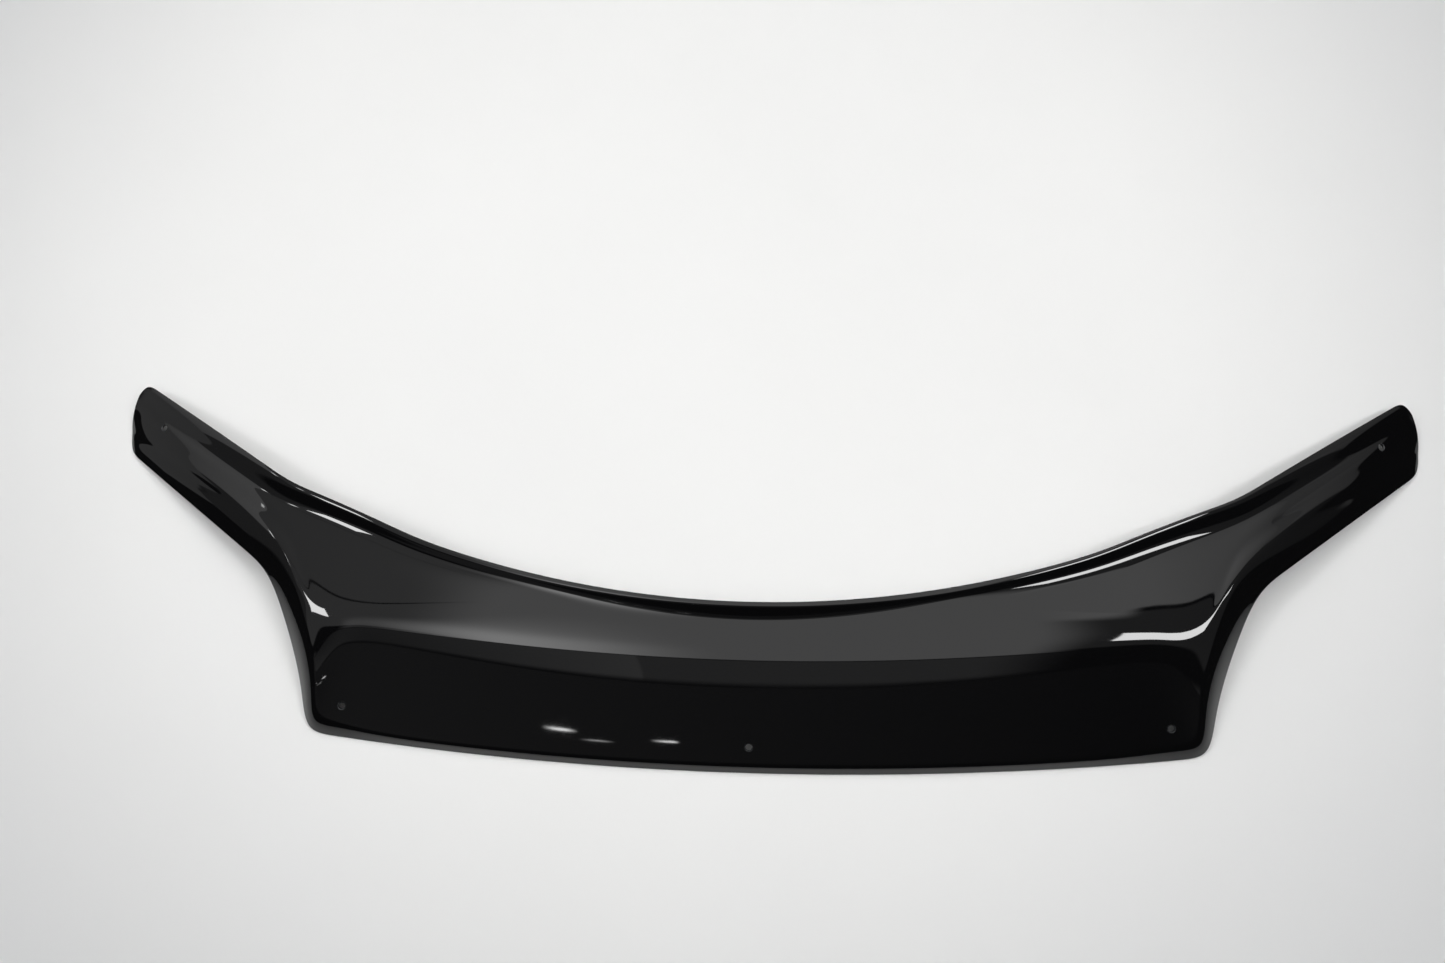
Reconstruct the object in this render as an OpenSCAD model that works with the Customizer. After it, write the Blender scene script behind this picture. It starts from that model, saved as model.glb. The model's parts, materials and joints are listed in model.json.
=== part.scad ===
// Hood bug deflector: one thermoformed acrylic sheet, lying face up.
// X runs across the vehicle, Y runs back from the front edge, Z is up.
// The sheet is lofted over three lines that run from tip to tip:
// the lower edge, the crease and the rim. All lengths are in millimetres.

/* [Front face] */
// Distance between the two lower front corners
front_width = 950; // [850:5:1020]
// How far the front edge bows forward of its corners
front_bow = 31.5; // [15:0.5:45]
// Height of the wall that turns down along the front edge
front_wall_height = 10; // [8:0.5:14]
// Outward run of the wall that turns down along the front edge
front_wall_run = 5; // [4:0.5:8]
// Distance from the front edge back to the crease, on the middle line
crease_depth = 115; // [100:1:125]
// Height of the crease above the lower edge, on the middle line
crease_height = 50; // [44:1:56]
// Width of the front face at its crease, between the ends of the bowed stretch
crease_width = 836; // [740:2:880]
// How far the crease bows forward of those ends
crease_bow = 28; // [15:1:40]
// Rise of the crease from the middle line to those ends
crease_end_rise = 6; // [3:0.5:10]

/* [Rim] */
// Distance from the front edge back to the rim, on the middle line
rim_depth = 167; // [155:1:185]
// Height of the rim above the lower edge, on the middle line
rim_height = 65; // [60:1:74]
// Width of the rim's bowed stretch
rim_width = 703; // [640:1:760]
// How far the rim bows forward of the ends of that stretch
rim_bow = 58.5; // [50:0.5:70]
// Width of the curled lip at the middle
lip_width = 17; // [14:0.5:22]
// Width of the lip's level top, next to the rim
lip_top = 5; // [3:0.5:8]
// Height that the lip curls up at the middle
lip_height = 10; // [6:0.5:14]
// Width of the lip where it is narrowest, on either side of the middle
narrow_lip_width = 13.5; // [11:0.5:18]
// Height that the lip curls up where it is narrowest
narrow_lip_height = 5; // [3:0.5:8]
// Width of the lip along the arms
arm_lip_width = 24; // [18:0.5:28]
// Height that the lip curls up along the arms
arm_lip_height = 8.2; // [4:0.2:10]

/* [Side walls] */
// How far back each side wall runs before it turns into the arm
side_depth = 166; // [145:1:180]
// How far each side wall leans outward on its way back
side_flare = 50; // [35:1:62]
// Height of the lower edge where the side wall turns into the arm
side_rise = 42; // [30:1:48]
// Height of the wall at the lower front corners
corner_wall_height = 18; // [14:0.5:21]
// Outward run of the wall at the lower front corners
corner_wall_run = 18; // [14:0.5:22]
// Height of the side wall at its highest, midway back
side_wall_height = 26.5; // [21:0.5:30]
// Outward run of the side wall midway back
side_wall_run = 25; // [20:0.5:29]
// Height of the wall where it turns into the arm
bend_wall_height = 16.5; // [12:0.5:21]
// Outward run of the wall where it turns into the arm
bend_wall_run = 27; // [22:0.5:31]

/* [Arms] */
// Distance over the outer corners of the two tips
tip_width = 1448; // [1400:2:1500]
// Distance from the front edge back to the outer corner of each tip
tip_depth = 346; // [325:1:370]
// Length of each tip edge, from its outer to its inner corner
tip_edge = 78; // [70:1:86]
// Height of the tip's outer corner
tip_low = 0; // [0:0.5:4]
// Height of the tip's inner corner
tip_high = 22; // [18:1:28]
// Distance that each rounded tip stands out past its corners
tip_round = 9; // [6:0.5:11]
// Width of the arm at its root, where it leaves the front face
arm_root_width = 94.5; // [88:0.5:108]
// Height of the rim over the lower edge at the arm's root
arm_root_height = 24; // [18:1:30]
// Height of the arm's floor over the lower edge at the arm's root
arm_floor_height = 16; // [12:0.5:19]
// Height of the arm's floor at its tip
tip_floor_height = 13; // [10:0.5:16]
// Height of the outer wall along the arm
arm_wall_height = 12; // [9:0.5:15]
// Outward run of the outer wall along the arm
arm_wall_run = 26; // [20:0.5:30]
// Height of the outer wall at the tip
tip_wall_height = 6.5; // [4:0.5:8]
// Outward run of the outer wall at the tip
tip_wall_run = 13; // [10:0.5:17]

/* [Sheet and holes] */
// Thickness of the acrylic sheet
sheet = 3; // [2:0.1:4]
// Diameter of the five fixing holes
hole_d = 7; // [5:0.1:9]
// Width of the chamfer round the face side of each hole
hole_chamfer = 1; // [0.3:0.1:1.2]
// Distance of the lower holes in from the front corners
low_hole_inset = 43.5; // [40:0.5:60]
// Distance of the lower holes back from the front edge of the corners
low_hole_back = 24; // [18:1:40]
// Distance of the middle hole back from the front edge
middle_hole_back = 25; // [18:1:40]
// Distance of the tip holes in from the tip edge, along the arm
tip_hole_inset = 42; // [35:1:60]
// Distance of the tip holes from the arm's middle, towards the rim
tip_hole_shift = 8; // [0:1:12]

/* [Hidden] */

// Shares of the way along the front, the side and the arm where sections stand
front_steps = [0, 0.33, 0.62, 0.83, 0.94, 1];
rim_steps = [0, 0.2, 0.4, 0.6, 0.8, 1];
side_steps = [0.3, 0.55, 0.78, 1];
arm_steps = [0.16, 0.36, 0.58, 0.78, 0.92, 1];
// Section numbers at the corner, the bend and the end of the arm
corner_at = 5;
bend_at = 9;
arm_end_at = 15;
// Distance from the fold to the next line up the face, by section number; more makes the fold rounder
fold_reaches = [[0, 8], [corner_at, 5], [8, 5], [11, 7]];
// Shares of the wall's run and height where its middle line stands; less run makes a rounder wall
wall_run_shares = [[3, 0.6], [corner_at, 0.45]];
wall_height_share = 0.61;
// Shares of the way from fold to crease and from crease to lip where the next lines run
face_shares = [[6, 0.85], [bend_at, 0.6]];
band_shares = [[6, 0.22], [bend_at, 0.4]];
band_far_share = 0.7;
// How far the face and the band behind the crease swell over a straight line
face_swells = [[corner_at, 2], [bend_at, 0.8], [arm_end_at, 0.4]];
band_swells = [[0, 0.9], [arm_end_at, 0.4]];
// How much more steeply each arm falls towards its tip than at its root
arm_fall = 1.5;
// Share of the tip edge at which each line of the sheet ends
tip_shares = [0, 0.08, 0.18, 0.28, 0.4, 0.52, 0.62, 0.72, 0.8, 0.88, 0.95, 1];

// Direction across the arm, from its lower edge to its rim
arm_lean = 12;
function across(width) = [-width * sin(arm_lean), width * cos(arm_lean), 0];

// Lower edge
edge_mid = [0, 0, 0];
edge_corner = [front_width / 2, front_bow, 0];
edge_bend = edge_corner + [side_flare, side_depth, side_rise];
edge_knee = edge_corner + [0, side_depth * 0.36, side_rise * 0.46];
edge_tip = [tip_width / 2, tip_depth, tip_low];

// Rim
rim_mid = [0, rim_depth, rim_height];
rim_corner = [rim_width / 2, rim_depth + rim_bow, rim_height + 2];
rim_bend = edge_bend + across(arm_root_width) + [0, 0, arm_root_height];
rim_knee = (rim_corner + rim_bend) / 2 + [0, 2, 7];
rim_tip = edge_tip + across(tip_edge) + [0, 0, tip_high - tip_low];

// Crease, which runs into the side fold and on along the floor of each arm
crease_mid = [0, crease_depth, crease_height];
crease_corner = [crease_width / 2, crease_depth + crease_bow, crease_height + crease_end_rise];
crease_bend = edge_bend + [-25, 37, arm_floor_height];
crease_knee = [crease_bend.x - 37, crease_corner.y - 21, (crease_corner.z + crease_bend.z) / 2 - 2];
crease_tip = edge_tip + across(40) + [0, 0, tip_floor_height - tip_low];

// Ends of the tip edge's outermost stretch, with a rounded corner at each side of it
tip_out = [cos(arm_lean), sin(arm_lean), 0] * tip_round;
edge_end = edge_tip + across(22) + tip_out + [0, 0, 1];
rim_end = rim_tip - across(13) + tip_out - [0, 0, 4];

// Wall and lip sizes by section number, from the middle to the tip
wall_runs = [[0, front_wall_run], [3, front_wall_run], [corner_at, corner_wall_run],
    [7, side_wall_run], [bend_at, bend_wall_run], [11, arm_wall_run], [arm_end_at, tip_wall_run]];
wall_heights = [[0, front_wall_height], [3, front_wall_height + 1], [corner_at, corner_wall_height],
    [7, side_wall_height], [bend_at, bend_wall_height], [11, arm_wall_height], [arm_end_at, tip_wall_height]];
lip_widths = [[0, lip_width], [3, narrow_lip_width], [12, arm_lip_width], [arm_end_at, 16]];
lip_heights = [[0, lip_height], [3, narrow_lip_height], [8, arm_lip_height], [12, arm_lip_height],
    [arm_end_at, 5.5]];

// One line of the sheet from its middle to the tip: a bow, a bent side and an arm that falls away
function line_points(mid, corner, knee, bend, tip, steps, swell) = concat(
    [for (f = steps) [corner.x * f, mid.y + (corner.y - mid.y) * f * f, mid.z + (corner.z - mid.z) * f * f]],
    [for (s = side_steps) corner * pow(1 - s, 2) + knee * 2 * s * (1 - s) + bend * s * s],
    [for (a = arm_steps) let (fall = pow(a, arm_fall))
        [bend.x + (tip.x - bend.x) * a, bend.y + (tip.y - bend.y) * a,
            bend.z + (tip.z - bend.z) * fall + 4 * swell * a * (1 - a)]]
);
edge_line = line_points(edge_mid, edge_corner, edge_knee, edge_bend, edge_tip, front_steps, 0);
crease_line = line_points(crease_mid, crease_corner, crease_knee, crease_bend, crease_tip, front_steps, 1);
rim_line = line_points(rim_mid, rim_corner, rim_knee, rim_bend, rim_tip, rim_steps, 0);

// Level direction square to a line at one of its points, to the left of its course
function flipped(p) = [-p.x, p.y, p.z];
function course(line, i) = line[min(i + 1, len(line) - 1)] - (i == 0 ? flipped(line[1]) : line[i - 1]);
function left_of(d) = [-d.y, d.x, 0] / norm([d.x, d.y]);
function inside_edge(i) = left_of(course(edge_line, i));
function inside_rim(i) = -left_of(course(rim_line, i));

// Height of a swell over a straight line, at a share of the way along it
function swell_at(share, most) = [0, 0, 4 * most * share * (1 - share)];

// The twelve points that draw the sheet's section at one station, from edge to rim
function section(i) =
    let (edge = edge_line[i])
    let (crease = crease_line[i])
    let (rim = rim_line[i])
    let (run = lookup(i, wall_runs) * inside_edge(i))
    let (rise = lookup(i, wall_heights) * [0, 0, 1])
    let (lip = lookup(i, lip_widths) * inside_rim(i))
    let (curl = lookup(i, lip_heights) * [0, 0, 1])
    let (fold = edge + run + rise)
    let (root = rim + lip - curl)
    let (near = min(1, lookup(i, fold_reaches) / norm(crease - fold)))
    let (far = lookup(i, face_shares))
    let (back = lookup(i, band_shares))
    let (face_swell = lookup(i, face_swells))
    let (band_swell = lookup(i, band_swells))
    [
        edge,
        edge + run * lookup(i, wall_run_shares) + rise * wall_height_share,
        fold,
        fold + (crease - fold) * near + swell_at(near, face_swell),
        fold + (crease - fold) * far + swell_at(far, face_swell),
        crease,
        crease + (root - crease) * back + swell_at(back, band_swell),
        crease + (root - crease) * band_far_share + swell_at(band_far_share, band_swell),
        root,
        rim + lip * 0.56 - curl * 0.45,
        rim + inside_rim(i) * lip_top - curl * 0.05,
        rim
    ];

// All sections from the middle to one tip, then from tip to tip
tip_section = [for (f = tip_shares) edge_end + (rim_end - edge_end) * f];
half_net = concat([for (i = [0:arm_end_at]) section(i)], [tip_section]);
last = len(half_net) - 1;
net = [for (i = [-last:last]) i < 0 ? [for (p = half_net[-i]) flipped(p)] : half_net[i]];

// Smooth curve drawn by a list of points, which starts and ends on the outer two
function blend(a, b, c, d, t) =
    (pow(1 - t, 3) * a + (3 * pow(t, 3) - 6 * t * t + 4) * b
    + (3 * t + 3 * t * t - 3 * pow(t, 3) + 1) * c + pow(t, 3) * d) / 6;
function padded(list) =
    let (n = len(list))
    concat([2 * list[0] - list[1]], list, [2 * list[n - 1] - list[n - 2]]);
function on_curve(list, s) =
    let (i = max(0, min(floor(s), len(list) - 4)))
    blend(list[i], list[i + 1], list[i + 2], list[i + 3], s - i);

// Face of the sheet: station s is 0 at the middle, row r is 0 at the lower edge
rows = [for (r = [0:11]) padded([for (section_points = net) section_points[r]])];
function section_at(s) = padded([for (row = rows) on_curve(row, s + last)]);
function face_point(s, r) = on_curve(section_at(s), r);

// Places along and across the sheet where its mesh has points, closer at the corners and folds
station_parts = [2, 3, 3, 3, 4, 5, 4, 3, 3, 3, 3, 2, 2, 3, 3, 4];
row_parts = [2, 3, 3, 2, 2, 2, 2, 2, 2, 2, 2];
function spread(parts) = [for (i = [0:len(parts) - 1]) for (k = [0:parts[i] - 1]) i + k / parts[i]];
half_stations = concat(spread(station_parts), [len(station_parts)]);
stations = concat([for (i = [len(half_stations) - 1:-1:1]) -half_stations[i]], half_stations);
row_places = concat(spread(row_parts), [len(row_parts)]);
across_count = len(row_places);
along_count = len(stations);

face_grid = [for (s = stations) let (curve = section_at(s)) [for (r = row_places) on_curve(curve, r)]];
function grid_normal(k, j) =
    let (along = face_grid[min(k + 1, along_count - 1)][j] - face_grid[max(k - 1, 0)][j])
    let (over = face_grid[k][min(j + 1, across_count - 1)] - face_grid[k][max(j - 1, 0)])
    let (n = cross(along, over))
    n / norm(n);
face_points = [for (row = face_grid) each row];
back_points = [for (k = [0:along_count - 1]) for (j = [0:across_count - 1])
    face_grid[k][j] - sheet * grid_normal(k, j)];

// Level of the floor and middle of the depth, which set the origin
floor_level = min([for (p = back_points) p.z]);
all_y = [for (p = concat(face_points, back_points)) p.y];
middle_y = (min(all_y) + max(all_y)) / 2;

// Faces of the closed shell: the face side, the back and the cut edge all round
function at(k, j) = k * across_count + j;
under = along_count * across_count;
face_side = [for (k = [0:along_count - 2]) for (j = [0:across_count - 2])
    each [[at(k, j), at(k, j + 1), at(k + 1, j + 1)], [at(k, j), at(k + 1, j + 1), at(k + 1, j)]]];
back_side = [for (f = face_side) [f[0] + under, f[2] + under, f[1] + under]];
border = concat(
    [for (k = [0:along_count - 2]) at(k, 0)],
    [for (j = [0:across_count - 2]) at(along_count - 1, j)],
    [for (k = [along_count - 1:-1:1]) at(k, across_count - 1)],
    [for (j = [across_count - 1:-1:1]) at(0, j)]
);
cut_edge = [for (i = [0:len(border) - 1])
    let (a = border[i])
    let (b = border[(i + 1) % len(border)])
    each [[a, b, b + under], [a, b + under, a + under]]];

// Station and row of the point of the face above a given place on the floor
function seek(place, s, r, tries) =
    let (p = face_point(s, r))
    let (ds = (face_point(s + 0.01, r) - p) / 0.01)
    let (dr = (face_point(s, r + 0.01) - p) / 0.01)
    let (miss = place - [p.x, p.y])
    let (area = ds.x * dr.y - ds.y * dr.x)
    let (step_s = (miss.x * dr.y - miss.y * dr.x) / area)
    let (step_r = (ds.x * miss.y - ds.y * miss.x) / area)
    tries == 0 ? [s, r] : seek(place, s + step_s, r + step_r, tries - 1);
function normal_at(s, r) =
    let (n = cross(face_point(s + 0.01, r) - face_point(s - 0.01, r),
        face_point(s, r + 0.01) - face_point(s, r - 0.01)))
    n / norm(n);

// Places of the holes over the floor, and the station and row where the search for each starts
tip_middle = (edge_tip + rim_tip) / 2;
arm_course = (edge_bend + rim_bend) / 2 - tip_middle;
arm_way = [arm_course.x, arm_course.y] / norm([arm_course.x, arm_course.y]);
tip_hole = [tip_middle.x, tip_middle.y] + tip_hole_inset * arm_way + tip_hole_shift * [arm_way.y, -arm_way.x];
low_hole = [edge_corner.x - low_hole_inset, edge_corner.y + low_hole_back];
middle_hole = [0, middle_hole_back];
right_holes = [[tip_hole, 13.3, 6.2], [low_hole, 4, 3.2]];
hole_seats = concat([seek(middle_hole, 0, 3, 6)], [for (h = right_holes) seek(h[0], h[1], h[2], 6)]);
hole_stations = concat([hole_seats[0]],
    [for (i = [1, 2]) for (side = [1, -1]) [side * hole_seats[i][0], hole_seats[i][1]]]);

module along_normal(s, r) {
    n = normal_at(s, r);
    translate(face_point(s, r))
        rotate([0, acos(n.z), atan2(n.y, n.x)])
            children();
}

module fixing_hole() {
    translate([0, 0, -3 * sheet])
        cylinder(h = 5 * sheet, d = hole_d, $fn = 32);
    translate([0, 0, -hole_chamfer])
        cylinder(h = 2 * hole_chamfer, d1 = hole_d, d2 = hole_d + 4 * hole_chamfer, $fn = 32);
}

module curved_sheet() {
    polyhedron(
        points = concat(face_points, back_points),
        faces = concat(face_side, back_side, cut_edge),
        convexity = 8
    );
}

module deflector() {
    color("#0b0b0c")
        translate([0, -middle_y, -floor_level])
            difference() {
                curved_sheet();
                for (h = hole_stations)
                    along_normal(h[0], h[1])
                        fixing_hole();
            }
}

deflector();
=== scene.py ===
import json
import math
import bpy
from mathutils import Matrix, Vector


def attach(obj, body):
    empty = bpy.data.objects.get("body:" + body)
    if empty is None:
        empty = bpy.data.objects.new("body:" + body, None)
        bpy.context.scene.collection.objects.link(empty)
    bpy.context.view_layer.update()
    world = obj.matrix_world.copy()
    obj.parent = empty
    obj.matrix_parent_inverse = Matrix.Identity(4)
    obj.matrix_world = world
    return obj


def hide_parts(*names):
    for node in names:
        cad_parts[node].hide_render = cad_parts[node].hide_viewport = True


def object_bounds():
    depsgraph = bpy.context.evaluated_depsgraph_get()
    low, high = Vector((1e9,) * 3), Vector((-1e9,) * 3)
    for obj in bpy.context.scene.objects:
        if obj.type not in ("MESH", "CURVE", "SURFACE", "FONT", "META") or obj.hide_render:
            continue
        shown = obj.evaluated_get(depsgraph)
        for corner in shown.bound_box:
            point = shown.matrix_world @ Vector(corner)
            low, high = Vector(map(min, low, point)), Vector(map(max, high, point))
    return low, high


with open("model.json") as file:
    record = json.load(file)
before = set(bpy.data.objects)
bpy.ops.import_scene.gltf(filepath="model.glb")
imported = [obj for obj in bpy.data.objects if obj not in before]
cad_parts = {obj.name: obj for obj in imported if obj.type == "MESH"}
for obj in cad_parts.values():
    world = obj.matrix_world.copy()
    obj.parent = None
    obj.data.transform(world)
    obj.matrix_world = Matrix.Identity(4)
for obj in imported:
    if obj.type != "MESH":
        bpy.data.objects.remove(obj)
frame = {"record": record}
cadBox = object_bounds()
print("frame loaded")

# sizes in millimetres and angles in degrees, as in the part's source
deflectorSizes = {
    "frontWidth": 950, "frontBow": 31.5, "frontWallHeight": 10, "frontWallRun": 5,
    "creaseDepth": 115, "creaseHeight": 50, "creaseWidth": 836, "creaseBow": 28, "creaseEndRise": 6,
    "rimDepth": 167, "rimHeight": 65, "rimWidth": 703, "rimBow": 58.5,
    "lipWidth": 17, "lipHeight": 10, "lipTop": 5, "narrowLipWidth": 13.5, "narrowLipHeight": 5,
    "armLipWidth": 24, "armLipHeight": 8.2, "tipLipWidth": 16, "tipLipHeight": 5.5,
    "sideDepth": 166, "sideFlare": 50, "sideRise": 42, "cornerWallHeight": 18, "cornerWallRun": 18,
    "sideWallHeight": 26.5, "sideWallRun": 25, "bendWallHeight": 16.5, "bendWallRun": 27,
    "tipWidth": 1448, "tipDepth": 346, "tipEdge": 78, "tipLow": 0, "tipHigh": 22,
    "armRootWidth": 94.5, "armRootHeight": 24, "armFloorHeight": 16, "tipFloorHeight": 13,
    "armWallHeight": 12, "armWallRun": 26, "tipWallHeight": 6.5, "tipWallRun": 13,
    "armLean": 12, "armFall": 1.5,
    # the side knee as shares of the side, and how far the other bends and ends lie from their neighbours
    "sideKneeDepth": 0.36, "sideKneeRise": 0.46,
    "creaseBendIn": 25, "creaseBendBack": 37, "creaseKneeIn": 37, "creaseKneeFront": 21, "creaseKneeLow": 2,
    "rimEndRise": 2, "rimKneeBack": 2, "rimKneeHigh": 7,
    "tipCrease": 40, "tipFrontCorner": 22, "tipBackCorner": 13, "tipBackDrop": 4,
    "sheet": 3.0,
    # only here: the rounder end of each tip, the flame polished cut edge and how fine the mesh is
    "tipRound": 7, "tipBow": 3,
    "edgeRounding": 0.7, "edgeAngle": 50, "smoothAngle": 40,
    "smoothing": 3, "holeSides": 64,
}

# where the sections stand along each line, and how they change from the middle (0) to the tip (15)
sectionShape = {
    "frontSteps": (0, 0.33, 0.62, 0.83, 0.94, 1), "rimSteps": (0, 0.2, 0.4, 0.6, 0.8, 1),
    "sideSteps": (0.3, 0.55, 0.78, 1), "armSteps": (0.16, 0.36, 0.58, 0.78, 0.92, 1),
    "endSteps": (0, 0.08, 0.18, 0.28, 0.4, 0.52, 0.62, 0.72, 0.8, 0.88, 0.95, 1),
    "foldReaches": ((0, 8), (5, 5), (8, 5), (11, 7)),      # millimetres from the fold to the face's first point
    "wallShares": ((3, 0.6), (5, 0.45)), "wallSwell": 0.61,      # where the wall bulges
    "faceShares": ((6, 0.85), (9, 0.6)), "faceSwells": ((5, 2), (9, 0.8), (15, 0.4)),
    "bandShares": ((6, 0.22), (9, 0.4)), "bandSwells": ((0, 0.9), (15, 0.4)), "bandTop": 0.7,
    "lipCurve": (0.56, 0.45), "lipTopDrop": 0.05,      # shares of the lip's width and height
}


def between(places, t):
    # straight line through a table of (section number, size) pairs
    for (a, low), (b, high) in zip(places, places[1:]):
        if t <= b:
            return low + (high - low) * max(0, t - a) / (b - a)
    return places[-1][1]


def acrossArm(width, lean):
    angle = math.radians(lean)
    return Vector((-width * math.sin(angle), width * math.cos(angle), 0))


def linePoints(middle, corner, knee, bend, tip, steps, fall, swell=0):
    # one line of the sheet from its middle to the tip: a bow, a bent side and an arm that falls away
    bow = [Vector((corner.x * f, middle.y + (corner.y - middle.y) * f * f,
                   middle.z + (corner.z - middle.z) * f * f)) for f in steps]
    side = [corner * (1 - s) ** 2 + knee * 2 * s * (1 - s) + bend * s * s for s in sectionShape["sideSteps"]]
    arm = []
    for a in sectionShape["armSteps"]:
        point = bend + (tip - bend) * a
        point.z = bend.z + (tip.z - bend.z) * a ** fall + 4 * swell * a * (1 - a)
        arm.append(point)
    return bow + side + arm


def leftOf(line, i):
    # level direction square to a line, to the left of its course
    before = line[i - 1] if i else Vector((-line[1].x, line[1].y, line[1].z))
    course = line[min(i + 1, len(line) - 1)] - before
    return Vector((-course.y, course.x, 0)).normalized()


def sheetLines(s):
    # the lower edge, the crease and the rim, each through its middle, corner, knee, bend and tip
    up = Vector((0, 0, 1))
    frontSteps, rimSteps = sectionShape["frontSteps"], sectionShape["rimSteps"]
    edgeCorner = Vector((s["frontWidth"] / 2, s["frontBow"], 0))
    edgeBend = edgeCorner + Vector((s["sideFlare"], s["sideDepth"], s["sideRise"]))
    edgeKnee = edgeCorner + Vector((0, s["sideDepth"] * s["sideKneeDepth"], s["sideRise"] * s["sideKneeRise"]))
    edgeTip = Vector((s["tipWidth"] / 2, s["tipDepth"], s["tipLow"]))
    edge = linePoints(Vector((0, 0, 0)), edgeCorner, edgeKnee, edgeBend, edgeTip, frontSteps, s["armFall"])

    creaseMiddle = Vector((0, s["creaseDepth"], s["creaseHeight"]))
    creaseCorner = creaseMiddle + Vector((s["creaseWidth"] / 2, s["creaseBow"], s["creaseEndRise"]))
    creaseBend = edgeBend + Vector((-s["creaseBendIn"], s["creaseBendBack"], s["armFloorHeight"]))
    creaseKnee = Vector((creaseBend.x - s["creaseKneeIn"], creaseCorner.y - s["creaseKneeFront"],
                         (creaseCorner.z + creaseBend.z) / 2 - s["creaseKneeLow"]))
    creaseTip = edgeTip + acrossArm(s["tipCrease"], s["armLean"]) + up * (s["tipFloorHeight"] - s["tipLow"])
    crease = linePoints(creaseMiddle, creaseCorner, creaseKnee, creaseBend, creaseTip, frontSteps,
                        s["armFall"], swell=1)

    rimMiddle = Vector((0, s["rimDepth"], s["rimHeight"]))
    rimCorner = rimMiddle + Vector((s["rimWidth"] / 2, s["rimBow"], s["rimEndRise"]))
    rimBend = edgeBend + acrossArm(s["armRootWidth"], s["armLean"]) + up * s["armRootHeight"]
    rimKnee = (rimCorner + rimBend) / 2 + Vector((0, s["rimKneeBack"], s["rimKneeHigh"]))
    rimTip = edgeTip + acrossArm(s["tipEdge"], s["armLean"]) + up * (s["tipHigh"] - s["tipLow"])
    rim = linePoints(rimMiddle, rimCorner, rimKnee, rimBend, rimTip, rimSteps, s["armFall"])
    return edge, crease, rim


def endRow(edgeTip, rimTip, s):
    # the rounded end of the arm, from the lower edge to the rim
    up = Vector((0, 0, 1))
    lean = math.radians(s["armLean"])
    out = Vector((math.cos(lean), math.sin(lean), 0))
    first = edgeTip + acrossArm(s["tipFrontCorner"], s["armLean"]) + out * s["tipRound"] + up
    last = rimTip - acrossArm(s["tipBackCorner"], s["armLean"]) + out * s["tipRound"] - up * s["tipBackDrop"]
    return [first + (last - first) * f + out * 4 * s["tipBow"] * f * (1 - f) for f in sectionShape["endSteps"]]


def controlNet(s):
    # rows of twelve points across the sheet, from its middle to the right tip
    up = Vector((0, 0, 1))
    shape = sectionShape
    edge, crease, rim = sheetLines(s)
    wallRuns = ((0, s["frontWallRun"]), (3, s["frontWallRun"]), (5, s["cornerWallRun"]), (7, s["sideWallRun"]),
                (9, s["bendWallRun"]), (11, s["armWallRun"]), (15, s["tipWallRun"]))
    wallHeights = ((0, s["frontWallHeight"]), (3, s["frontWallHeight"] + 1), (5, s["cornerWallHeight"]),
                   (7, s["sideWallHeight"]), (9, s["bendWallHeight"]), (11, s["armWallHeight"]),
                   (15, s["tipWallHeight"]))
    lipWidths = ((0, s["lipWidth"]), (3, s["narrowLipWidth"]), (12, s["armLipWidth"]), (15, s["tipLipWidth"]))
    lipHeights = ((0, s["lipHeight"]), (3, s["narrowLipHeight"]), (8, s["armLipHeight"]), (12, s["armLipHeight"]),
                  (15, s["tipLipHeight"]))
    rows = []
    for i in range(len(edge)):
        run = leftOf(edge, i) * between(wallRuns, i)
        rise = up * between(wallHeights, i)
        inward = -leftOf(rim, i)
        lip = inward * between(lipWidths, i)
        curl = up * between(lipHeights, i)
        fold = edge[i] + run + rise
        root = rim[i] + lip - curl

        def onFace(share):
            swell = between(shape["faceSwells"], i)
            return fold + (crease[i] - fold) * share + up * 4 * swell * share * (1 - share)

        def onBand(share):
            swell = between(shape["bandSwells"], i)
            return crease[i] + (root - crease[i]) * share + up * 4 * swell * share * (1 - share)

        wall = edge[i] + run * between(shape["wallShares"], i) + rise * shape["wallSwell"]
        near = onFace(min(1, between(shape["foldReaches"], i) / (crease[i] - fold).length))
        face = onFace(between(shape["faceShares"], i))
        band = onBand(between(shape["bandShares"], i))
        curve = rim[i] + lip * shape["lipCurve"][0] - curl * shape["lipCurve"][1]
        top = rim[i] + inward * s["lipTop"] - curl * shape["lipTopDrop"]
        rows.append([edge[i], wall, fold, near, face, crease[i],
                     band, onBand(shape["bandTop"]), root, curve, top, rim[i]])
    rows.append(endRow(edge[-1], rim[-1], s))
    return rows


def onlySelect(piece):
    if bpy.context.object and bpy.context.object.mode != "OBJECT":
        bpy.ops.object.mode_set(mode="OBJECT")
    bpy.ops.object.select_all(action="DESELECT")
    piece.select_set(True)
    bpy.context.view_layer.objects.active = piece


def addModifier(piece, name, kind, **settings):
    onlySelect(piece)
    modifier = piece.modifiers.new(name, kind)
    for setting, value in settings.items():
        setattr(modifier, setting, value)
    bpy.ops.object.modifier_apply(modifier=name)


def selectFaces(piece, test):
    # selects the faces that pass the test, and leaves the piece in edit mode
    onlySelect(piece)
    bpy.ops.object.mode_set(mode="EDIT")
    bpy.ops.mesh.select_mode(type="FACE")
    bpy.ops.mesh.select_all(action="DESELECT")
    bpy.ops.object.mode_set(mode="OBJECT")
    for face in piece.data.polygons:
        face.select = test(face)
    bpy.ops.object.mode_set(mode="EDIT")


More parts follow.
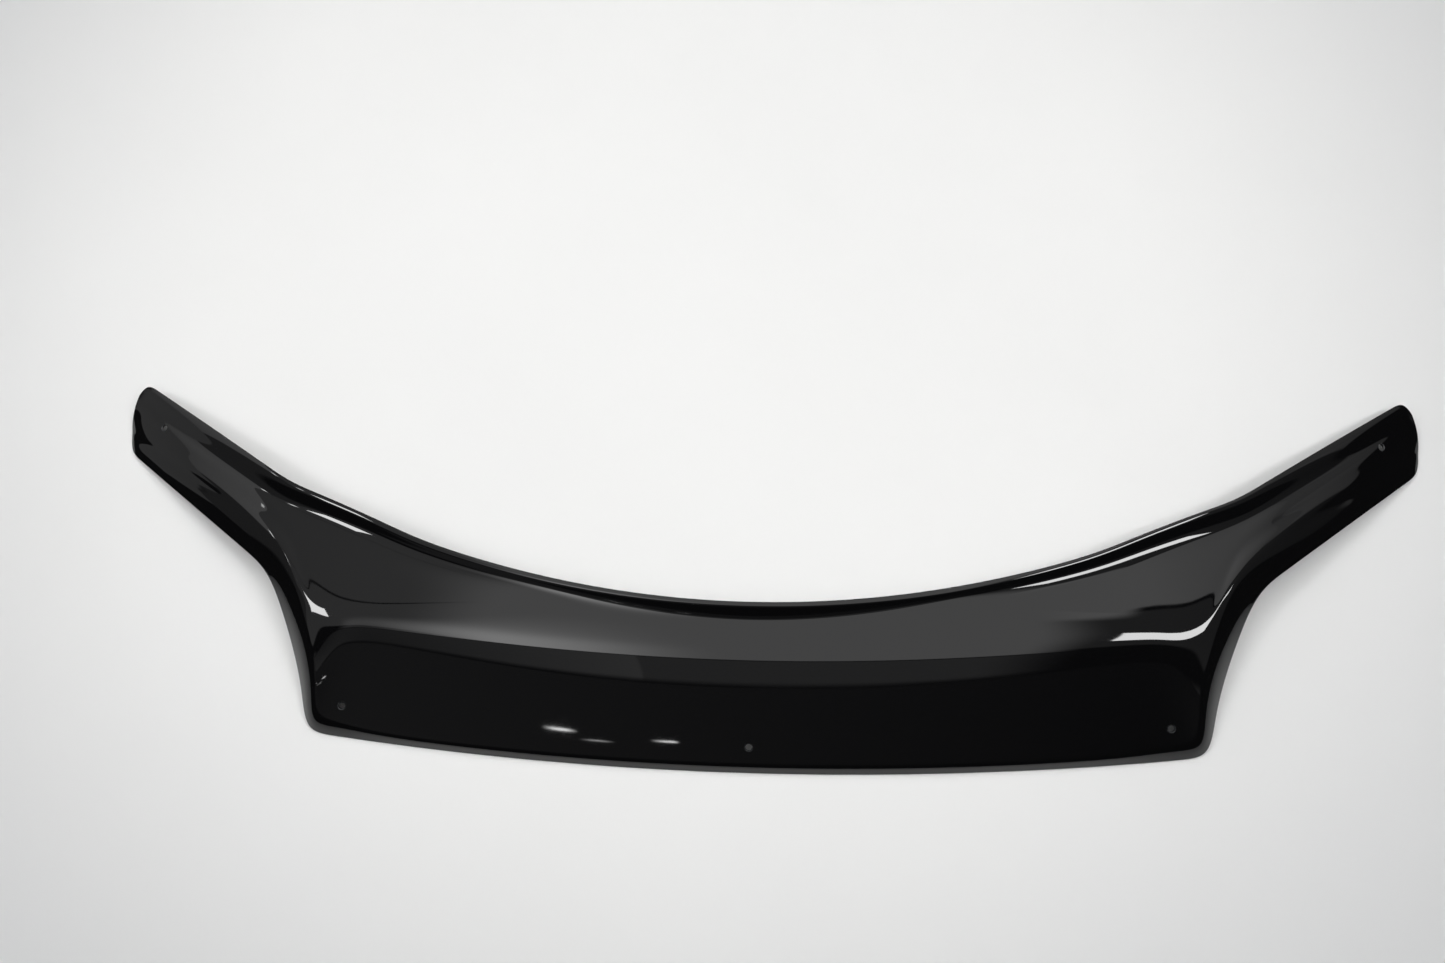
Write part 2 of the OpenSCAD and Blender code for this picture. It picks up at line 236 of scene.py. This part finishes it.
def makeSheet(s):
    # a grid moved to the control net, rounded, given its thickness and set on the solid's front and floor
    half = controlNet(s)
    net = [[Vector((-p.x, p.y, p.z)) for p in row] for row in half[:0:-1]] + half
    bpy.ops.object.select_all(action="DESELECT")
    bpy.ops.mesh.primitive_grid_add(x_subdivisions=len(net) - 1, y_subdivisions=len(net[0]) - 1, size=1)
    sheet = bpy.context.object
    sheet.name = sheet.data.name = "deflector_sheet"
    for i, vertex in enumerate(sheet.data.vertices):
        vertex.co = net[i % len(net)][i // len(net)] / 1000
    print("net of", len(net), "by", len(net[0]), "points")
    for finish in (faceFinish, backFinish, edgeFinish, drilledFinish):
        sheet.data.materials.append(finish)
    addModifier(sheet, "roundForm", "SUBSURF", levels=s["smoothing"], render_levels=s["smoothing"],
                use_limit_surface=True, quality=6, boundary_smooth="ALL")
    addModifier(sheet, "thickness", "SOLIDIFY", thickness=s["sheet"] / 1000, offset=-1, use_even_offset=True,
                material_offset=1, material_offset_rim=2)
    addModifier(sheet, "polishedEdge", "BEVEL", width=s["edgeRounding"] / 1000, segments=3,
                limit_method="ANGLE", angle_limit=math.radians(s["edgeAngle"]))
    places = [vertex.co for vertex in sheet.data.vertices]
    forward = cadBox[0][1] - min(p.y for p in places)
    sheet.data.transform(Matrix.Translation((0, forward, -min(p.z for p in places))))
    return sheet


def makeHoleCutter(mount, s):
    # a drill with a countersink, stood on the hole's axis and long enough to pass both sides
    radius, length = mount["dims"]["r_mm"] / 1000, mount["dims"]["length_mm"] / 1000
    chamfer = s["sheet"] / 1000 - length
    depth = 6 * length
    bpy.ops.object.select_all(action="DESELECT")
    bpy.ops.mesh.primitive_cylinder_add(vertices=s["holeSides"], radius=radius, depth=depth,
                                        location=(0, 0, (length - depth) / 2))
    cutter = bpy.context.object
    bpy.ops.object.transform_apply(location=True, rotation=True, scale=True)
    selectFaces(cutter, lambda face: face.normal.z > 0.9)
    bpy.ops.mesh.extrude_region_move(TRANSFORM_OT_translate={"value": (0, 0, 2 * chamfer)})
    widen = (radius + 2 * chamfer) / radius
    bpy.ops.transform.resize(value=(widen, widen, 1), center_override=(0, 0, 0))
    for finish in (edgeFinish, drilledFinish):
        cutter.data.materials.append(finish)
    selectFaces(cutter, lambda face: -0.9 < face.normal.z < -0.1)
    cutter.active_material_index = 1
    bpy.ops.object.material_slot_assign()
    bpy.ops.object.mode_set(mode="OBJECT")
    turn = Vector((0, 0, 1)).rotation_difference(Vector(mount["axis"])).to_matrix().to_4x4()
    cutter.data.transform(Matrix.Translation(Vector(mount["pos_m"])) @ turn)
    return cutter


def drillHoles(sheet, s):
    for mount in frame["record"]["mounts"]:
        cutter = makeHoleCutter(mount, s)
        addModifier(sheet, "hole", "BOOLEAN", operation="DIFFERENCE", solver="EXACT", object=cutter,
                    material_mode="TRANSFER")
        bpy.data.objects.remove(cutter)


def linear(colour):
    # sRGB hex to linear
    parts = [int(colour[i:i + 2], 16) / 255 for i in (1, 3, 5)]
    return tuple(c / 12.92 if c <= 0.04045 else ((c + 0.055) / 1.055) ** 2.4 for c in parts) + (1,)


def addNode(tree, kind, values=None, links=None, **settings):
    node = tree.nodes.new("ShaderNode" + kind)
    for setting, value in settings.items():
        setattr(node, setting, value)
    for place, value in (values or {}).items():
        node.inputs[place].default_value = value
    for place, source in (links or {}).items():
        tree.links.new(source, node.inputs[place])
    return node


# black cast acrylic by surface: colour, least and most roughness, and waves as (length, height) in millimetres
acrylicLook = {
    "ior": 1.49, "hazeWave": 90, "hazeRange": (0.35, 0.7),
    "face": ("#050506", (0.018, 0.035), ((90, 0.012), (4, 0.001))),
    "back": ("#060607", (0.10, 0.16), ((90, 0.012), (2, 0.003))),
    "edge": ("#0a0b0c", (0.16, 0.26), ((1.5, 0.01),)),
    "drilled": ("#2c2d2f", (0.45, 0.6), ((0.4, 0.02),)),
}


def makeAcrylic(name, surface, look):
    colour, roughness, waves = look[surface]
    material = bpy.data.materials.new(name)
    material.use_nodes = True
    tree = material.node_tree
    shader = tree.nodes["Principled BSDF"]
    shader.inputs["Base Color"].default_value = linear(colour)
    shader.inputs["IOR"].default_value = look["ior"]
    place = addNode(tree, "TexCoord").outputs["Object"]
    haze = addNode(tree, "TexNoise", {"Scale": 1000 / look["hazeWave"], "Detail": 6, "Roughness": 0.6},
                   {"Vector": place})
    limits = dict(zip(("From Min", "From Max", "To Min", "To Max"), look["hazeRange"] + roughness))
    spread = addNode(tree, "MapRange", limits, {"Value": haze.outputs["Fac"]})
    tree.links.new(spread.outputs["Result"], shader.inputs["Roughness"])
    bump = None
    for wave, height in waves:
        noise = addNode(tree, "TexNoise", {"Scale": 1000 / wave, "Detail": 1}, {"Vector": place})
        links = {"Height": noise.outputs["Fac"]}
        if bump:
            links["Normal"] = bump.outputs["Normal"]
        bump = addNode(tree, "Bump", {"Strength": 1, "Distance": height / 1000}, links)
    tree.links.new(bump.outputs["Normal"], shader.inputs["Normal"])
    return material


# deep black under a clear mirror skin, with the drape's slow waves, fine orange peel and a trace of haze
faceFinish = makeAcrylic("blackAcrylicFace", "face", acrylicLook)
# the side that lay on the mould, a little duller
backFinish = makeAcrylic("blackAcrylicMouldSide", "back", acrylicLook)
# trimmed and flame polished, a soft grey line of light round the sheet
edgeFinish = makeAcrylic("blackAcrylicCutEdge", "edge", acrylicLook)
# drilled and left frosted, so each chamfer is a pale ring
drilledFinish = makeAcrylic("frostedDrilledAcrylic", "drilled", acrylicLook)

sheet = makeSheet(deflectorSizes)
drillHoles(sheet, deflectorSizes)
onlySelect(sheet)
bpy.ops.object.shade_smooth_by_angle(angle=math.radians(deflectorSizes["smoothAngle"]))
print("sheet drilled,", len(sheet.data.polygons), "faces")
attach(sheet, "root")
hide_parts("deflector")

# in metres: the size, the middle and where its bright middle tone starts and ends giving way to the far one; the
# far tone is painted shade, standing in for the lamps' falloff away from the middle
floorLook = {
    "size": 14, "colour": "#f4f4f3", "mottle": "#eeeeed", "paintedShadeColour": "#cecfd0",
    "middle": (-0.10, 0.40, 0), "fade": (0.5, 1.3), "clouds": 3, "roughness": 0.6,
}


def makeFloor(look):
    # pale floor paint, matt and faintly clouded, with painted shade that greys it away from the object in place
    # of the lamps' falloff
    bpy.ops.object.select_all(action="DESELECT")
    bpy.ops.mesh.primitive_plane_add(size=look["size"], location=(0, 0, 0))
    floor = bpy.context.object
    floor.name = "studio_floor"
    material = bpy.data.materials.new("paleFloorPaint")
    material.use_nodes = True
    tree = material.node_tree
    shader = tree.nodes["Principled BSDF"]
    place = addNode(tree, "TexCoord").outputs["Object"]
    clouds = addNode(tree, "TexNoise", {"Scale": look["clouds"], "Detail": 4}, {"Vector": place})
    tint = addNode(tree, "Mix", {6: linear(look["colour"]), 7: linear(look["mottle"])},
                   {0: clouds.outputs["Fac"]}, data_type="RGBA")
    # painted shade: the floor's colour greys with distance from the middle, standing in for the light falling off
    reach = addNode(tree, "VectorMath", {1: look["middle"]}, {0: place}, operation="DISTANCE")
    paintedFalloffShade = addNode(tree, "MapRange", {"From Min": look["fade"][0], "From Max": look["fade"][1]},
                   {"Value": reach.outputs["Value"]}, interpolation_type="SMOOTHSTEP")
    paint = addNode(tree, "Mix", {7: linear(look["paintedShadeColour"])},
                    {0: paintedFalloffShade.outputs["Result"], 6: tint.outputs[2]}, data_type="RGBA")
    tree.links.new(paint.outputs[2], shader.inputs["Base Color"])
    shader.inputs["Roughness"].default_value = look["roughness"]
    floor.data.materials.append(material)


makeFloor(floorLook)
print("floor laid")

# panels in the ceiling, in metres: left, right, front and back side, how bright a mirror shows
# their left and right side (white paper is about 1), how wide each side fades (left, right,
# front, back), and how far the front and back side run back for each metre to the right
ceiling = {
    "centreCeiling": ((-1.10, 0.92, -1.08, 2.8), (1.33, 1.33), (0.30, 0.22, 0.02, 0), 0),
    "windowGlow": ((-1.35, -0.15, -1.08, -0.21), (3.0, 3.0), (0.5, 0.7, 0.01, 0.7), 0),
    "rightNear": ((0.70, 1.00, -0.13, 2.8), (1.36, 1.36), (0.22, 0.05, 0.08, 0), 1.0),
    "rightBack": ((0.95, 2.42, 0.20, 2.8), (1.38, 0.58), (0.05, 0.02, 0.01, 0), 0.2),
    "rightFront": ((0.70, 5.10, -1.08, 0.14), (0.22, 0.04), (0.22, 0.3, 0.1, 0.01), 0.2),
    "rightFar": ((2.40, 5.10, 0.45, 2.8), (0.53, 0.27), (0.02, 0.1, 0.15, 0), -0.06),
    "leftNear": ((-2.40, -0.80, -0.62, 0.495), (0.44, 0.56), (0.02, 0.30, 0.03, 0.006), -0.30),
    "leftBack": ((-2.40, -0.80, 0.503, 3.2), (0.44, 0.56), (0.02, 0.30, 0.006, 0), -0.30),
    "leftFar": ((-5.40, -2.38, 0.36, 2.8), (0.60, 1.05), (0, 0.02, 0.10, 0), 0),
    "leftFarFront": ((-5.40, -2.38, -0.80, 0.42), (0.15, 0.20), (0, 0.02, 0.3, 0.10), 0),
    "frontStripLeft": ((-1.60, -0.44, -1.41, -1.09), (0.05, 0.50), (0.2, 0, 0.04, 0), 0),
    "frontStripRight": ((-0.44, 0.95, -1.41, -1.09), (0.30, 0.32), (0, 0.35, 0.04, 0), 0),
    "frontShade": ((-2.40, 1.60, -2.60, -1.41), (0.16, 0.0), (0.3, 0.3, 0.3, 0), 0),
    "rightSoftbox": ((0.93, 1.78, -0.66, -0.21), (17, 17), (0.01, 0.01, 0.01, 0.01), 0.48),
    "leftSoftbox": ((-2.15, -1.56, -0.35, 0.02), (17, 17), (0.01, 0.01, 0.01, 0.01), 0),
    "tubeNear": ((-2.26, -2.16, 0.08, 0.26), (14, 14), (0.03, 0.03, 0.04, 0.04), 0),
    "tubeFar": ((-2.56, -2.44, 0.40, 0.58), (14, 14), (0.03, 0.03, 0.04, 0.04), 0),
    "frontLampLeft": ((-0.83, -0.69, -1.672, -1.652), (20, 20), (0.06, 0.06, 0.008, 0.008), 0),
    "frontLampMiddle": ((-0.70, -0.56, -1.712, -1.695), (7, 7), (0.07, 0.07, 0.008, 0.008), 0),
    "frontLampRight": ((-0.44, -0.33, -1.682, -1.667), (20, 20), (0.06, 0.03, 0.007, 0.007), 0),
}
# each panel hangs a little lower than the last, as lamps in one plane would hide each other
ceilingHeight, panelStep = 2.4, 0.001

# place, size, glow, turn and whether a mirror shows it: a wall that only the steep arm reflects,
# and a lamp that lifts the floor's middle
sideLights = {
    "leftWall": ((-5.42, 1.30, 1.85), (1.10, 2.5), 0.40, (0, -90, 0), True),
    "fillLamp": ((-0.45, 0.50, 1.70), (0.9, 0.9), 2.5, (0, 0, 0), False),
}
roomGlow = 0.03


def addLamp(name, place, size, glow, turn=(0, 0, 0), mirrored=True):
    # a rectangle that a mirror shows as bright as its glow
    light = bpy.data.lights.new(name, "AREA")
    light.shape = "RECTANGLE"
    light.size, light.size_y = size
    light.energy = glow * math.pi * size[0] * size[1]
    lamp = bpy.data.objects.new(name, light)
    lamp.location = place
    lamp.rotation_euler = [math.radians(angle) for angle in turn]
    lamp.visible_camera = False
    lamp.visible_glossy = mirrored
    bpy.context.scene.collection.objects.link(lamp)
    return light


def addPanel(name, height, box, glows, fades, lean):
    left, right, front, back = box
    width, run = right - left, lean * (right - left)
    middle = ((left + right) / 2, (front + back + run) / 2, height)
    light = addLamp(name, middle, (width, back - front + abs(run)), 1)
    light.use_nodes = True
    tree = light.node_tree
    place = addNode(tree, "NewGeometry").outputs["Position"]
    apart = addNode(tree, "SeparateXYZ", links={0: place})
    across, along = apart.outputs["X"], apart.outputs["Y"]
    if lean:
        shift = addNode(tree, "Math", {1: -lean, 2: lean * left}, {0: across}, operation="MULTIPLY_ADD")
        along = addNode(tree, "Math", links={0: along, 1: shift.outputs["Value"]},
                        operation="ADD").outputs["Value"]
    limits = {"From Min": left, "From Max": right, "To Min": glows[0], "To Max": glows[1]}
    glow = addNode(tree, "MapRange", limits, {"Value": across}).outputs["Result"]
    sides = ((across, left, 1), (across, right, -1), (along, front, 1), (along, back, -1))
    for (source, side, way), fade in zip(sides, fades):
        if fade:
            part = addNode(tree, "MapRange", {"From Min": side, "From Max": side + way * fade}, {"Value": source},
                           interpolation_type="SMOOTHSTEP").outputs["Result"]
            glow = addNode(tree, "Math", links={0: glow, 1: part}, operation="MULTIPLY").outputs["Value"]
    tree.links.new(glow, tree.nodes["Emission"].inputs["Strength"])


for i, (name, parts) in enumerate(ceiling.items()):
    addPanel(name, ceilingHeight - i * panelStep, *parts)
for name, parts in sideLights.items():
    addLamp(name, *parts)

world = bpy.data.worlds.new("studioWalls")
bpy.context.scene.world = world
world.use_nodes = True
world.node_tree.nodes["Background"].inputs["Color"].default_value = (roomGlow, roomGlow, roomGlow, 1)
print("lights hung")

# metres and degrees; the focal length is the photo's 1380 of 1445 pixels
cameraView = {
    "place": (0.0500, -0.4086, 1.4557), "down": 70.0, "turn": -9.65, "roll": -8.05,
    "sensor": 36, "focal": 1380 / 1445 * 36,
}


def makeCamera(view):
    down, turn, roll = (math.radians(view[k]) for k in ("down", "turn", "roll"))
    forward = Vector((math.sin(turn) * math.cos(down), math.cos(turn) * math.cos(down), -math.sin(down)))
    level = Vector((math.cos(turn), -math.sin(turn), 0))
    rise = level.cross(forward)
    right = level * math.cos(roll) + rise * math.sin(roll)
    upward = rise * math.cos(roll) - level * math.sin(roll)
    lens = bpy.data.cameras.new("photoCamera")
    lens.sensor_width, lens.sensor_fit, lens.lens = view["sensor"], "HORIZONTAL", view["focal"]
    lens.clip_start, lens.clip_end = 0.01, 100
    camera = bpy.data.objects.new("photoCamera", lens)
    turned = Matrix((right, upward, -forward)).transposed().to_4x4()
    camera.matrix_world = Matrix.Translation(view["place"]) @ turned
    bpy.context.scene.collection.objects.link(camera)
    bpy.context.scene.camera = camera


makeCamera(cameraView)
bpy.context.scene.view_settings.view_transform = "Standard"
print("camera set")
